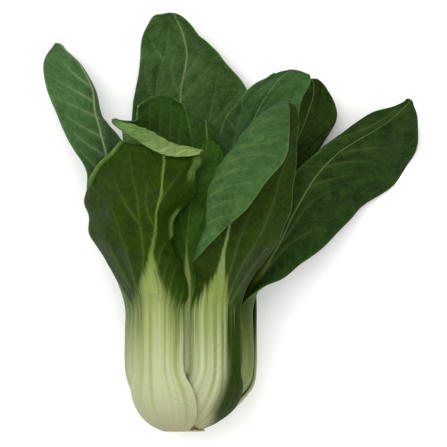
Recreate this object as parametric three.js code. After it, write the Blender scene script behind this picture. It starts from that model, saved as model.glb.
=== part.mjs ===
// A head of bok choy lying on its back: a bulb of nested pale stalks round a short core,
// each stalk running out into one green leaf blade.
// Millimetres. The cut base is towards -Y, the leaf tips towards +Y, and the table is z = 0.
// The origin is the middle of the flat spot under the bulb that the head rests on.
import * as THREE from 'three';

// Driving dimensions of the bulb
const BULB_RADIUS = 31.5;
const BULB_DEPTH = 31; // from the widest place down to the pole of the base
const WIDEST_Y = -9;
const AXIS_HEIGHT = 30.2; // a little under the radius, so the lowest stalk has a flat spot
const STALK_TOP_Y = [8, 20]; // two stations of the straight part above the widest place
const FOOT_RADIUS = 9.2; // where the stalks start on the core
const FOOT_LEAN = 5; // how far the base's pole stands to the left of the bulb's middle
const FOOT_WIDENING = 28; // degrees that each stalk gains on both sides towards its foot

// Driving dimensions of the leaves
const OUTER_STALK = 5.5; // thickness in the middle of an outer stalk
const INNER_STALK = 4.5;
const HEART_STALK = 3;
const BLADE_THICKNESS = 1;
const RIB_COUNT = 7; // broad ribs along an outer stalk
const RIB_DEPTH = 0.45;
const MARGIN_SHARE = 0.22; // a stalk's thickness at its margin, as a share of its middle
const MARGIN_ROOM = 0.12; // share of a stalk's thickness that stays free at its margin
const LAYER_GAP = 1.45;
const LAYER_FADE = 1.9; // half widths over which the leaves inside close up again past a margin
const FOOT_STEPS = 4; // stations from the foot up to the widest place
const SPLIT_STATION = 6; // where the pale stalk gives way to green at the margins
const PALE_TONGUE = 1.6; // stations by which the pale midrib runs on into the blade
const SPLIT_GAP = 0.06; // stations
const WAVE_HEIGHT = 0.6; // of the waved margins
const WAVES_PER_STATION = 0.5;

// Each leaf in the order it wraps the bulb, the outermost first. "around" is the side of the
// bulb the stalk stands on, in degrees from +X through +Z, and "spread" is half its width.
// Rows run from the neck to the tip, and each row goes across the blade as [x, y, z] points
// in the sense of a growing angle.
const LEAVES = [
  {
    name: 'front_left_leaf', around: 124.5, spread: 28.5, stalk: OUTER_STALK,
    rows: [
      [[-1, 26.5, 57], [-18, 29, 61], [-32, 27.5, 46]],
      [[-3, 35.5, 58], [-21, 40, 65], [-37.5, 38, 46]],
      [[-8, 47.5, 60], [-27, 48.5, 67], [-44.5, 48, 47]],
      [[-10, 54, 61], [-29, 57, 69], [-48, 56, 48]],
      [[-7.5, 63.5, 62], [-29, 66, 71], [-49, 64, 49]],
      [[1, 73.5, 61], [-25, 75, 71], [-50, 71.5, 50]],
      [[2, 83.5, 58], [-23, 83, 69], [-48, 81.5, 52]],
      [[4, 89, 57], [-19, 89, 65], [-42, 88.5, 55]],
      [[4, 94, 57], [-15, 95.5, 61], [-33.5, 99, 57]],
    ],
  },
  {
    name: 'back_leaf', around: 270, spread: 44, stalk: OUTER_STALK,
    rows: [
      [[-23, 32, 8], [-0.5, 33, 1], [21.5, 32, 9]],
      [[-25, 49, 9], [-1, 50.5, 1], [23, 49, 8]],
      [[-28, 68, 9], [-1.5, 69.5, 1], [26, 68, 8]],
      [[-29.5, 87, 9], [-2.5, 89, 1], [29, 87.5, 8]],
      [[-29, 106.5, 9], [-3, 108, 0], [29, 108, 8]],
      [[-26.5, 124, 11], [-3, 124, 2], [26, 125, 9]],
      [[-24.5, 138.5, 11], [-3.5, 138.5, 5], [16.5, 137, 10]],
      [[-23.5, 149, 13], [-8, 150, 9], [6, 148, 13]],
      [[-20, 156.5, 16], [-11, 157.5, 14], [-1.5, 156.5, 15]],
      [[-14.5, 160, 18], [-12, 160.5, 18], [-9, 160, 18]],
    ],
  },
  {
    name: 'front_right_leaf', around: 66, spread: 25, stalk: OUTER_STALK,
    rows: [
      [[26.5, 29.5, 49], [20.5, 30.5, 58], [13.5, 31.5, 62], [7, 32, 61], [2.5, 32.5, 57]],
      [[35.5, 42.5, 48], [25, 41.5, 60], [13, 41.5, 66], [5.5, 41.5, 68], [0.5, 41.5, 67]],
      [[43, 55, 50], [28, 52, 61], [11, 51, 68], [4.5, 50.5, 71], [5.5, 46.5, 74]],
      [[47, 64, 51], [29, 63.5, 61], [9, 62.5, 68], [10, 60.5, 74], [16.5, 58, 76]],
      [[48, 73, 51], [30, 75, 61], [8.5, 74, 68], [15.5, 71, 74.5], [26, 66.5, 75]],
      [[49, 81.5, 51], [32.5, 84.5, 61], [12.5, 84.5, 68], [23, 81.5, 74.5], [35.5, 79.5, 75]],
      [[50, 92.5, 51], [36.5, 94, 60], [20.5, 96, 66], [32, 94, 72.5], [44.5, 90.5, 73]],
      [[51, 104, 50], [41, 106, 57], [31, 109, 62], [38.5, 107, 68], [46.5, 104, 69]],
      [[50, 115.5, 50], [48, 116.5, 53], [45.5, 117.5, 56], [46, 117, 59.5], [46.5, 115.5, 62]],
    ],
  },
  {
    name: 'back_right_leaf', around: 312, spread: 42, stalk: OUTER_STALK,
    rows: [
      [[6.5, 31.5, 11], [23, 32, 12], [31, 31.5, 23]],
      [[13, 46.5, 12], [27, 48.5, 12], [34, 47.5, 16]],
      [[19.5, 63, 14], [34.5, 65, 12], [44, 63.5, 14]],
      [[26, 79.5, 15], [41.5, 82, 12], [53, 80.5, 12]],
      [[33.5, 96, 16], [50, 98.5, 12], [62, 96.5, 11]],
      [[40.5, 109, 17], [55.5, 112, 13], [69.5, 110, 12]],
      [[47, 119.5, 18], [58.5, 122, 15], [67, 121, 14]],
      [[54.5, 128, 19], [57.5, 129, 19], [60.5, 129, 18]],
    ],
  },
  {
    name: 'left_leaf', around: 192, spread: 44, stalk: OUTER_STALK,
    rows: [
      [[-30, 29.5, 42], [-34, 31, 25], [-21.5, 32, 14]],
      [[-38.5, 43.5, 40], [-39.5, 44.5, 23], [-27, 44.5, 14]],
      [[-45.5, 58, 36], [-42, 59.5, 21], [-30, 60.5, 13.5]],
      [[-48.5, 72, 33], [-41, 74, 20], [-32, 76, 13]],
      [[-50, 84.5, 31], [-40, 87.5, 20], [-33.5, 91, 12]],
      [[-58.5, 99.5, 30], [-42.5, 100.5, 23], [-34, 101, 14]],
      [[-64, 112, 28], [-46, 113.5, 23], [-45.5, 112, 10]],
      [[-68.5, 123, 25], [-47.5, 125, 21], [-52.5, 122, 4]],
      [[-70.5, 133.5, 22], [-53.5, 136.5, 18], [-58.5, 133.5, 0]],
      [[-68.5, 141.5, 18], [-60.5, 143.5, 15], [-62.5, 141.5, 5]],
      [[-65, 145.5, 14], [-63.5, 146, 12], [-62.5, 145, 10]],
    ],
  },
  {
    name: 'right_leaf', around: -8, spread: 44, stalk: OUTER_STALK,
    rows: [
      [[21.5, 30, 20], [31, 31, 28], [33.5, 29, 42]],
      [[30.5, 41.5, 21], [35.5, 39.5, 27], [43, 33.5, 36]],
      [[36.5, 52, 21], [43.5, 49.5, 25], [53, 41, 30]],
      [[41, 64, 21], [50, 59, 23], [63.5, 49, 23]],
      [[46, 75, 22], [57, 69, 21], [73, 59, 15]],
      [[50.5, 85.5, 23], [65, 80.5, 19], [82.5, 68.5, 8]],
      [[61, 95, 22], [74.5, 91, 17], [94.5, 76.5, 1.5]],
      [[73, 104.5, 21], [85, 98.5, 17], [102.5, 85.5, 0]],
      [[86, 112.5, 20], [95, 107, 17], [107.5, 96.5, 5]],
      [[98, 116.5, 20], [102, 114, 18], [108.5, 108, 12]],
      [[102.5, 119.5, 20], [104.5, 119, 20], [106, 116.5, 19]],
    ],
  },
  {
    name: 'hooded_leaf', around: 228, spread: 45, stalk: INNER_STALK,
    rows: [
      [
        [-21.5, 35, 38], [-23, 35.5, 33], [-23.5, 36, 29], [-22.5, 36, 25],
        [-20, 36, 22], [-15.5, 36, 19.5], [-9, 36, 18], [-1.5, 35, 18],
      ],
      [
        [-19.5, 53.5, 47], [-24, 54, 43], [-27, 54.5, 38], [-27.5, 55, 33],
        [-25, 55.5, 28], [-19.5, 55.5, 24], [-11, 55.5, 22], [-0.5, 54, 22],
      ],
      [
        [-12, 70, 55], [-20.5, 70, 54], [-27, 70.5, 49], [-30.5, 71, 42],
        [-29.5, 72, 35], [-23, 73, 29], [-12.5, 73.5, 26], [1.5, 71, 26],
      ],
      [
        [-2.5, 81.5, 55], [-13.5, 83, 58], [-24, 86.5, 56], [-32, 91, 50],
        [-32, 94, 41], [-25, 96, 33], [-13.5, 97, 29], [1.5, 91, 29],
      ],
      [
        [5.5, 95, 51], [-9, 99, 56], [-23, 105.5, 56], [-33, 106, 52],
        [-27.5, 104, 42], [-25.5, 107, 38], [-13.5, 110, 34], [-0.5, 106, 34],
      ],
      [
        [4, 93.5, 60], [-12, 93, 65], [-25.5, 100, 63], [-37.5, 108.5, 56],
        [-25.5, 109, 48], [-24.5, 116.5, 44], [-13.5, 121, 41], [-3.5, 116.5, 41],
      ],
    ],
  },
  {
    name: 'tall_inner_leaf', around: 300, spread: 42, stalk: INNER_STALK,
    rows: [
      [[2.5, 32, 21], [12, 33, 20], [23, 32, 27]],
      [[4.5, 49, 25], [15, 50, 23], [28, 48.5, 28]],
      [[6, 65.5, 28], [17.5, 67.5, 26], [33.5, 65, 29]],
      [[8, 82, 32], [22, 84, 29], [40, 80.5, 30]],
      [[11, 96, 36], [26, 99, 32], [46, 95, 32]],
      [[16, 108, 40], [31, 112, 36], [50, 107, 34]],
      [[22, 118, 42], [36, 121, 39], [52.5, 119, 36]],
      [[29, 125, 43], [42, 128.5, 41], [56.5, 126, 38]],
      [[38.5, 130.5, 43], [48, 133, 42], [56, 130.5, 39]],
    ],
  },
  {
    name: 'front_inner_leaf', around: 98, spread: 42, stalk: INNER_STALK,
    rows: [
      [[12, 32, 52], [-2, 33, 54], [-13.5, 32, 48]],
      [[10, 49.5, 53], [-2, 50.5, 54], [-15.5, 49, 46]],
      [[12, 65.5, 53], [0, 67.5, 53], [-14, 65.5, 46]],
      [[14.5, 79.5, 53], [3.5, 82.5, 52], [-10, 79.5, 45]],
      [[15.5, 91, 50], [7, 93.5, 47], [-3.5, 90, 43]],
      [[13.5, 96.5, 46], [8, 99.5, 43], [2.5, 96.5, 41]],
    ],
  },
  {
    name: 'right_heart_leaf', around: 30, spread: 42, stalk: HEART_STALK, reach: 15,
    rows: [
      [[12, 33, 30], [12, 33, 38], [5, 33, 43]],
      [[10, 52, 33], [9, 52, 38], [2, 52, 43]],
      [[11, 72, 37], [8, 73, 41], [1, 72, 43]],
      [[13, 90, 40], [8, 93, 39], [1, 91, 39]],
      [[12, 104, 41], [7, 109, 40], [1, 105, 39]],
    ],
  },
  {
    name: 'left_heart_leaf', around: 180, spread: 50, stalk: HEART_STALK, reach: 14,
    rows: [
      [[-8, 33, 40], [-12, 33, 33], [-8, 33, 26]],
      [[-9, 52, 41], [-12, 52, 36], [-7, 52, 30]],
      [[-9, 72, 40], [-13, 73, 36], [-7, 72, 31]],
      [[-8, 84, 38], [-10, 85, 36], [-6, 84, 34]],
      [[-8, 91, 38], [-8.5, 92, 37], [-7, 91, 36]],
    ],
  },
];

const OUTER_COLUMNS = 14;
const INNER_COLUMNS = 8;
const STALK_ROWS = 9;
const BLADE_COLUMNS = 10;
const BLADE_ROWS = 13;
const HOOD_COLUMNS = 18;
const NORMAL_STEP = 0.02; // in stations and in shares of the width

// The core's outline as [radius, y], from the cut base up to its point inside the heart
const CORE_OUTLINE = [[0, -39], [7, -39], [7.3, -37], [6, -29], [4.6, -21], [3, -16], [0, -14]];
const CORE_SIDES = 20;

const radians = (degrees) => (degrees * Math.PI) / 180;

function smoothStep(low, high, value) {
  const share = Math.min(1, Math.max(0, (value - low) / (high - low)));
  return share * share * (3 - 2 * share);
}

// The smooth curve through a list of points, at a place counted in points from the first.
function curveThrough(points, place) {
  const last = points.length - 1;
  const start = Math.min(last - 1, Math.max(0, Math.floor(place)));
  const t = place - start;
  const [b, c] = [points[start], points[start + 1]];
  const mirrored = (end, next, afterNext) => end.map((value, axis) =>
    afterNext ? 3 * value - 3 * next[axis] + afterNext[axis] : 2 * value - next[axis]);
  const a = start > 0 ? points[start - 1] : mirrored(b, c, points[start + 2]);
  const d = start < last - 1 ? points[start + 2] : mirrored(c, b, points[start - 1]);
  return b.map((value, axis) => value + 0.5 * t * (
    c[axis] - a[axis]
    + t * (2 * a[axis] - 5 * value + 4 * c[axis] - d[axis]
      + t * (3 * (value - c[axis]) + d[axis] - a[axis]))));
}

// How far the bulb leans to the left at a height below its widest place.
const leanAt = (y) => -FOOT_LEAN * (Math.max(0, WIDEST_Y - y) / BULB_DEPTH) ** 2;

// How far round the bulb a stalk reaches to each side, at an angle up from the base's pole.
const halfSpread = (leaf, rise) => leaf.spread + FOOT_WIDENING * Math.cos(rise);

// The radius left for a leaf once the leaves outside it have taken their thickness.
function radiusLeft(leaf, around, rise) {
  let radius = BULB_RADIUS;
  for (const outer of LEAVES.slice(0, LEAVES.indexOf(leaf))) {
    const apart = ((around - outer.around + 540) % 360) - 180;
    const share = Math.abs(apart) / halfSpread(outer, rise);
    const edge = MARGIN_SHARE + MARGIN_ROOM;
    const past = edge * (1 - smoothStep(1, LAYER_FADE, share));
    const taken = share < 1 ? 1 - (1 - edge) * share ** 2 : past;
    radius -= (outer.stalk + LAYER_GAP) * taken;
  }
  return Math.min(radius, leaf.reach ?? radius);
}

// One cross-section of a leaf: on the bulb by formula, above it from the leaf's own rows.
function sectionPoint(leaf, station, across) {
  const row = station - FOOT_STEPS - STALK_TOP_Y.length - 1;
  if (row >= 0) {
    const points = leaf.rows[row];
    return curveThrough(points, across * (points.length - 1));
  }
  const footRise = Math.asin(FOOT_RADIUS / radiusLeft(leaf, leaf.around, 0));
  const climb = Math.min(1, station / FOOT_STEPS);
  const rise = footRise + (Math.PI / 2 - footRise) * climb;
  const around = leaf.around + (2 * across - 1) * halfSpread(leaf, rise);
  const radius = radiusLeft(leaf, around, rise);
  const out = radius * Math.sin(rise);
  const above = station > FOOT_STEPS;
  const y = above
    ? STALK_TOP_Y[station - FOOT_STEPS - 1]
    : WIDEST_Y - (BULB_DEPTH / BULB_RADIUS) * radius * Math.cos(rise);
  const x = leanAt(y) + out * Math.cos(radians(around));
  return [x, y, AXIS_HEIGHT + out * Math.sin(radians(around))];
}

const stationCount = (leaf) => FOOT_STEPS + STALK_TOP_Y.length + 1 + leaf.rows.length;

// The outer face of a leaf, at a place counted in stations and a share of the way across.
function outerFace(leaf, place, across) {
  const sections = [];
  for (let station = 0; station < stationCount(leaf); station++) {
    sections.push(sectionPoint(leaf, station, across));
  }
  return new THREE.Vector3(...curveThrough(sections, place));
}

function inwardNormal(leaf, place, across) {
  const step = NORMAL_STEP;
  const last = stationCount(leaf) - 1;
  const [low, high] = [Math.max(0, place - step), Math.min(last, place + step)];
  const [left, right] = [Math.max(0, across - step), Math.min(1, across + step)];
  const along = outerFace(leaf, high, across).sub(outerFace(leaf, low, across));
  const over = outerFace(leaf, place, right).sub(outerFace(leaf, place, left));
  return over.cross(along).normalize();
}

function thickness(leaf, place, across) {
  const side = Math.abs(2 * across - 1);
  const stalkShare = 1 - smoothStep(FOOT_STEPS, SPLIT_STATION + 4, place);
  const middle = BLADE_THICKNESS + (leaf.stalk - BLADE_THICKNESS) * stalkShare;
  const margin = Math.max(BLADE_THICKNESS, MARGIN_SHARE * middle);
  return margin + (middle - margin) * (1 - side ** 2);
}

// The grooves between the ribs of an outer stalk fade out in the blade.
function grooveDepth(leaf, place, across) {
  if (leaf.stalk < OUTER_STALK) return 0;
  const fade = 1 - smoothStep(FOOT_STEPS, SPLIT_STATION + 2, place);
  return 0.5 * RIB_DEPTH * fade * (1 + Math.cos(2 * Math.PI * RIB_COUNT * across));
}

// Where the pale stalk ends and the green blade starts.
const splitPlace = (across) =>
  SPLIT_STATION + PALE_TONGUE * (1 - Math.abs(2 * across - 1));

// A closed sheet between two places along a leaf, cut alike on both faces.
function leafSheet(leaf, placeAt, rowCount, columnCount) {
  const positions = [];
  const faces = [];
  const width = columnCount + 1;
  const perFace = width * (rowCount + 1);
  for (const inner of [0, 1]) {
    for (let row = 0; row <= rowCount; row++) {
      for (let column = 0; column < width; column++) {
        const across = column / columnCount;
        const place = placeAt(row / rowCount, across);
        const point = outerFace(leaf, place, across);
        const normal = inwardNormal(leaf, place, across);
        const margin = Math.abs(2 * across - 1) ** 3 * smoothStep(SPLIT_STATION, SPLIT_STATION + 3, place);
        const wave = WAVE_HEIGHT * margin * Math.sin(2 * Math.PI * WAVES_PER_STATION * place + leaf.around);
        const groove = inner ? 0 : grooveDepth(leaf, place, across);
        point.addScaledVector(normal, wave + groove + inner * thickness(leaf, place, across));
        positions.push(point.x, point.y, Math.max(0, point.z));
      }
    }
  }
  const quad = (a, b, c, d) => faces.push(a, b, c, a, c, d);
  for (let row = 0; row < rowCount; row++) {
    for (let column = 0; column < columnCount; column++) {
      const [a, b] = [row * width + column, row * width + column + 1];
      const [c, d] = [b + width, a + width];
      quad(a, d, c, b);
      faces.push(a + perFace, b + perFace, c + perFace, a + perFace, c + perFace, d + perFace);
    }
  }
  const rim = [];
  for (let column = 0; column < columnCount; column++) rim.push(column);
  for (let row = 0; row < rowCount; row++) rim.push(row * width + columnCount);
  for (let column = columnCount; column > 0; column--) rim.push(rowCount * width + column);
  for (let row = rowCount; row > 0; row--) rim.push(row * width);
  rim.forEach((a, index) => {
    const b = rim[(index + 1) % rim.length];
    quad(a, b, b + perFace, a + perFace);
  });
  const geometry = new THREE.BufferGeometry();
  geometry.setAttribute('position', new THREE.Float32BufferAttribute(positions, 3));
  geometry.setIndex(faces);
  geometry.computeVertexNormals();
  return geometry;
}

function stalkMesh(leaf) {
  const placeAt = (share, across) => share * (splitPlace(across) - SPLIT_GAP);
  const material = new THREE.MeshStandardMaterial({ color: 0xb9cf8e, roughness: 0.45 });
  const columns = leaf.stalk < OUTER_STALK ? INNER_COLUMNS : OUTER_COLUMNS;
  const mesh = new THREE.Mesh(leafSheet(leaf, placeAt, STALK_ROWS, columns), material);
  mesh.name = `${leaf.name}_stalk`;
  return mesh;
}

function bladeMesh(leaf) {
  const last = stationCount(leaf) - 1;
  const placeAt = (share, across) => {
    const start = splitPlace(across) + SPLIT_GAP;
    return start + share * (last - start);
  };
  const columns = leaf.rows[0].length > 5 ? HOOD_COLUMNS : BLADE_COLUMNS;
  const material = new THREE.MeshStandardMaterial({ color: 0x3f6b2c, roughness: 0.6 });
  const mesh = new THREE.Mesh(leafSheet(leaf, placeAt, BLADE_ROWS, columns), material);
  mesh.name = `${leaf.name}_blade`;
  return mesh;
}

// The core: the short stem that all the stalks grow from, cut flat at the base.
function coreMesh() {
  const outline = CORE_OUTLINE.map(([radius, y]) => new THREE.Vector2(radius, y));
  const geometry = new THREE.LatheGeometry(outline, CORE_SIDES);
  const positions = geometry.getAttribute('position');
  for (let i = 0; i < positions.count; i++) {
    positions.setX(i, positions.getX(i) + leanAt(positions.getY(i)));
  }
  geometry.translate(0, 0, AXIS_HEIGHT);
  const material = new THREE.MeshStandardMaterial({ color: 0xcfd6a6, roughness: 0.5 });
  const mesh = new THREE.Mesh(geometry, material);
  mesh.name = 'core_stem';
  return mesh;
}

const head = new THREE.Group();
for (const leaf of LEAVES) head.add(stalkMesh(leaf), bladeMesh(leaf));
head.add(coreMesh());

export default head;
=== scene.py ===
import math

import bpy
import numpy as np
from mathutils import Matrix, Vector, noise


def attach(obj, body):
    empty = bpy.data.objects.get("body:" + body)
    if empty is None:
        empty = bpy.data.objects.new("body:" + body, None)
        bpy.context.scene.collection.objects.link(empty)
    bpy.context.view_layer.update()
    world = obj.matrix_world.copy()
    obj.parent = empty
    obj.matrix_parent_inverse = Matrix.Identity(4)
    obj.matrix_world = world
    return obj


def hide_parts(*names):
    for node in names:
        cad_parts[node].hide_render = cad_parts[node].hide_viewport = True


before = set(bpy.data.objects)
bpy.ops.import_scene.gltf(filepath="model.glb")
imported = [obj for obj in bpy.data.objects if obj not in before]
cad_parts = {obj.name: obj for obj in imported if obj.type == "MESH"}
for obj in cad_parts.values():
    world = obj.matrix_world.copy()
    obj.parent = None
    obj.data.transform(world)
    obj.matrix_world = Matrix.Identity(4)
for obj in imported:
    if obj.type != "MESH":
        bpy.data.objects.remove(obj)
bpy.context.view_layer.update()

# Camera
# It looks straight down on the head from far off, so that the leaves keep the outline that
# they have in the picture. The view is 212 mm wide and its middle is right of the bulb.
METRES = 0.001
view_width = 211.9
view_middle = (15.4, 60.0)
camera_height = 4000
leaf_level = 45
film_width = 36
far_limit = 20
camera = bpy.data.objects.new("camera", bpy.data.cameras.new("camera"))
bpy.context.scene.collection.objects.link(camera)
camera.location = (view_middle[0] * METRES, view_middle[1] * METRES, camera_height * METRES)
camera.data.sensor_width = film_width
camera.data.lens = film_width * (camera_height - leaf_level) / view_width
camera.data.clip_end = far_limit
bpy.context.scene.camera = camera
bpy.context.scene.view_settings.view_transform = "Standard"

# Table top and light
# A plain pale board to lie on, a broad soft lamp at upper left, a weak one at lower right,
# and a pale room all round.
floor_half = 3.0
board_white = (0.96, 0.96, 0.955, 1)
board_roughness = 0.9
lamp_target = (0, 0.06, 0)
room_brightness = 0.75
floor_mesh = bpy.data.meshes.new("table_top")
floor_corners = [
    (-floor_half, -floor_half, 0),
    (floor_half, -floor_half, 0),
    (floor_half, floor_half, 0),
    (-floor_half, floor_half, 0),
]
floor_mesh.from_pydata(floor_corners, [], [(0, 1, 2, 3)])
table_top = bpy.data.objects.new("table_top", floor_mesh)
bpy.context.scene.collection.objects.link(table_top)
board = bpy.data.materials.new("pale_board")
board.use_nodes = True
board_shader = board.node_tree.nodes["Principled BSDF"]
board_shader.inputs["Base Color"].default_value = board_white
board_shader.inputs["Roughness"].default_value = board_roughness
floor_mesh.materials.append(board)


def hang_lamp(name, place, width, power):
    lamp = bpy.data.objects.new(name, bpy.data.lights.new(name, "AREA"))
    lamp.data.size = width
    lamp.data.energy = power
    lamp.location = place
    lamp.rotation_euler = (Vector(lamp_target) - lamp.location).to_track_quat("-Z", "Y").to_euler()
    bpy.context.scene.collection.objects.link(lamp)


hang_lamp("soft_lamp_upper_left", (-0.36, 0.42, 1.1), 1.2, 13)
hang_lamp("weak_lamp_lower_right", (0.4, -0.3, 1.1), 1.1, 4.5)
room = bpy.data.worlds.new("pale_room")
room.use_nodes = True
room.node_tree.nodes["Background"].inputs["Color"].default_value = (1, 1, 1, 1)
room.node_tree.nodes["Background"].inputs["Strength"].default_value = room_brightness
bpy.context.scene.world = room

# Front left leaf
# The outermost leaf, seen from outside: a broad pale stalk with soft ribs that wraps the bulb,
# and an olive green blade that bulges towards the viewer. It grew as one piece with the stem.
BULB_RADIUS = 31.5
BULB_DEPTH = 31
WIDEST_Y = -9
AXIS_HEIGHT = 30.2
STRAIGHT_STATIONS = (8, 20)
FOOT_RADIUS = 9.2
FOOT_LEAN = 5
FOOT_WIDENING = 28
FOOT_STEPS = 4
NECK_STATION = FOOT_STEPS + len(STRAIGHT_STATIONS)
LAYER_GAP = 1.45
LAYER_FADE = 1.9
OUTER_STALK = 5.5
MARGIN_SHARE = 0.22
MARGIN_ROOM = 0.12
BLADE_THICKNESS = 0.8
MARGIN_THICKNESS = 0.5
ROWS_PER_STATION = 14
MIDRIB_HEIGHT = 0.9
RIB_COUNT = 7
RIB_DEPTH = 0.45
RIDGE_COUNT = 33
RIDGE_DEPTH = 0.05
WAVE_HEIGHT = 0.6
WAVES_PER_STATION = 0.5
RUFFLE_SIZE = 7
PUCKER_SIZE = 11
PUCKER_HEIGHT = 0.6
ROLL_HEIGHT = 1.2
VEIN_HALF_WIDTH = 0.2
VEIN_GROOVE = 2.2
VEIN_SPACING = 13
VEIN_SWEEP = 3.2
FAR_FROM_VEINS = 60.0
# How wide the stalk stays pale to each side of its middle, at these lengths past the neck, and how
# many times wider its limit is down at the foot
PALE_PLACES = (-45, -25, -8, 5, 12, 19, 27, 45, 110)
PALE_HALF_WIDTHS = (60, 26, 13.5, 8, 5, 2.6, 1.1, 0.6, 0.35)
FOOT_PLACES = (-80, -68, -52)
FOOT_LIMITS = (3.2, 1.7, 1)
# The leaves grown so far, each inside the ones before it: direction, half spread and thickness
wrapped = []


def soft_step(low, high, value):
    share = np.clip((value - low) / (high - low), 0, 1)
    return share * share * (3 - 2 * share)


def curve_through(points, places):
    """Points on the smooth curve through a list, at places counted from the list's first."""
    points = np.asarray(points, float)
    last = len(points) - 1
    if last == 1:
        before, after = 2 * points[0] - points[1], 2 * points[1] - points[0]
    else:
        before = 3 * points[0] - 3 * points[1] + points[2]
        after = 3 * points[-1] - 3 * points[-2] + points[-3]
    longer = np.concatenate([before[None], points, after[None]])
    start = np.clip(np.floor(places).astype(int), 0, last - 1)
    t = (places - start).reshape((-1,) + (1,) * (points.ndim - 1))
    a, b, c, d = (longer[start + i] for i in range(4))
    return b + 0.5 * t * (c - a + t * (2 * a - 5 * b + 4 * c - d + t * (3 * (b - c) + d - a)))


def half_spread(spread, rise):
    return spread + FOOT_WIDENING * math.cos(rise)


def radius_left(around, rise, reach):
    """The radius left for a stalk by the stalks already wrapped round it."""
    radius = np.full(np.shape(around), float(BULB_RADIUS))
    edge = MARGIN_SHARE + MARGIN_ROOM
    for outer_around, outer_spread, outer_stalk in wrapped:
        apart = (around - outer_around + 540) % 360 - 180
        share = np.abs(apart) / half_spread(outer_spread, rise)
        past = edge * (1 - soft_step(1, LAYER_FADE, share))
        taken = np.where(share < 1, 1 - (1 - edge) * share**2, past)
        radius -= (outer_stalk + LAYER_GAP) * taken
    return np.minimum(radius, reach)


def lean_at(y):
    return -FOOT_LEAN * (np.maximum(0, WIDEST_Y - y) / BULB_DEPTH) ** 2


def stalk_section(station, across, around, spread, reach):
    """One section of a stalk on the bulb, from its foot up to the neck."""
    foot_rise = math.asin(FOOT_RADIUS / radius_left(np.array([float(around)]), 0, reach)[0])
    rise = foot_rise + (math.pi / 2 - foot_rise) * min(1, station / FOOT_STEPS)
    angle = around + (2 * across - 1) * half_spread(spread, rise)
    radius = radius_left(angle, rise, reach)
    out = radius * math.sin(rise)
    if station > FOOT_STEPS:
        y = np.full(across.shape, float(STRAIGHT_STATIONS[station - FOOT_STEPS - 1]))
    else:
        y = WIDEST_Y - BULB_DEPTH / BULB_RADIUS * radius * math.cos(rise)
    x = lean_at(y) + out * np.cos(np.radians(angle))
    return np.stack([x, y, AXIS_HEIGHT + out * np.sin(np.radians(angle))], axis=1)


def leaf_sheet(around, spread, stalk, rows, reach, columns):
    """The outer face of a leaf as a fine grid of points, with what each row and column is."""
    across = np.linspace(0, 1, columns + 1)
    sections = [stalk_section(i, across, around, spread, reach) for i in range(NECK_STATION + 1)]
    for row in rows:
        sections.append(curve_through(row, across * (len(row) - 1)))
    wrapped.append((around, spread, stalk))
    last = len(sections) - 1
    places = np.linspace(0, last, last * ROWS_PER_STATION + 1)
    return across, places, curve_through(np.array(sections), places)


def facing_in(grid):
    over = np.gradient(grid, axis=1)
    along = np.gradient(grid, axis=0)
    normal = np.cross(over, along)
    return normal / np.maximum(1e-9, np.linalg.norm(normal, axis=2, keepdims=True))


def swellings(grid, size, seed):
    """Soft uneven swellings, from -1 to 1, with a given size."""
    values = [noise.noise((x + seed, y, z)) for x, y, z in grid.reshape(-1, 3) / size]
    return np.array(values).reshape(grid.shape[:2])


def rib_middle(across, places, grid, rib_line, rib_start, rib_limit):
    """Where the midrib runs across each row, so that from above it follows a line of [x, y]."""
    if rib_line is None:
        return np.full((len(places), 1), rib_start)
    line = curve_through(rib_line, np.linspace(0, len(rib_line) - 1, 80))
    allowed = across <= rib_limit
    gaps = np.linalg.norm(grid[:, allowed, None, :2] - line[None, None], axis=3).min(axis=2)
    found = across[allowed][gaps.argmin(axis=1)]
    share = soft_step(NECK_STATION - 1, NECK_STATION + 1.5, places)
    middle = rib_start + (found - rib_start) * share
    padded = np.concatenate([np.full(8, middle[0]), middle, np.full(8, middle[-1])])
    return np.convolve(padded, np.ones(17) / 17, mode="valid")[:, None]


def vein_gaps(grid, veins):
    """How far each point is, seen from above, from the nearest vein, the same in vein widths, and
    how much of that vein is left there, since veins fade towards their ends."""
    flat = grid[..., :2].reshape(-1, 2)
    nearest = np.full(len(flat), FAR_FROM_VEINS)
    widths = np.full(len(flat), FAR_FROM_VEINS)
    strength = np.ones(len(flat))
    for vein in veins:
        count = 6 * (len(vein) - 1)
        line = curve_through(vein, np.linspace(0, len(vein) - 1, count + 1))
        for i in range(count):
            start, step = line[i], line[i + 1] - line[i]
            share = np.clip((flat - start) @ step / (step @ step), 0, 1)
            gap = np.linalg.norm(flat - start - share[:, None] * step, axis=1)
            along = (i + share) / count
            ratio = np.maximum(gap - VEIN_HALF_WIDTH, 0) / (0.75 - 0.25 * along)
            strength = np.where(ratio < widths, 1 - 0.75 * along, strength)
            nearest = np.minimum(nearest, gap)
            widths = np.minimum(widths, ratio)
    return [part.reshape(grid.shape[:2]) for part in (nearest, widths, strength)]


def side_vein_gaps(side, length_up):
    """The same for a leaf whose side veins leave the midrib at even steps and sweep upwards."""
    lane = length_up / VEIN_SPACING - VEIN_SWEEP * np.abs(side) ** 0.75 + 0.5 * (side > 0)
    gap = np.abs(lane % 1 - 0.5) * VEIN_SPACING
    return gap, np.maximum(gap - VEIN_HALF_WIDTH, 0) / 0.65, 1 - 0.6 * np.abs(side)


def all_vein_gaps(grid, across, side, length_up, veins, layers):
    """The same for a whole leaf. Each layer is a stretch across the leaf with veins of its own."""
    gaps = side_vein_gaps(side, length_up)
    if veins:
        for (low, high), lines in zip(layers, veins if len(layers) > 1 else (veins,)):
            here = (across >= low) & (across <= high)
            for whole, part in zip(gaps, vein_gaps(grid[:, here], lines)):
                whole[:, here] = part
    return gaps


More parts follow.
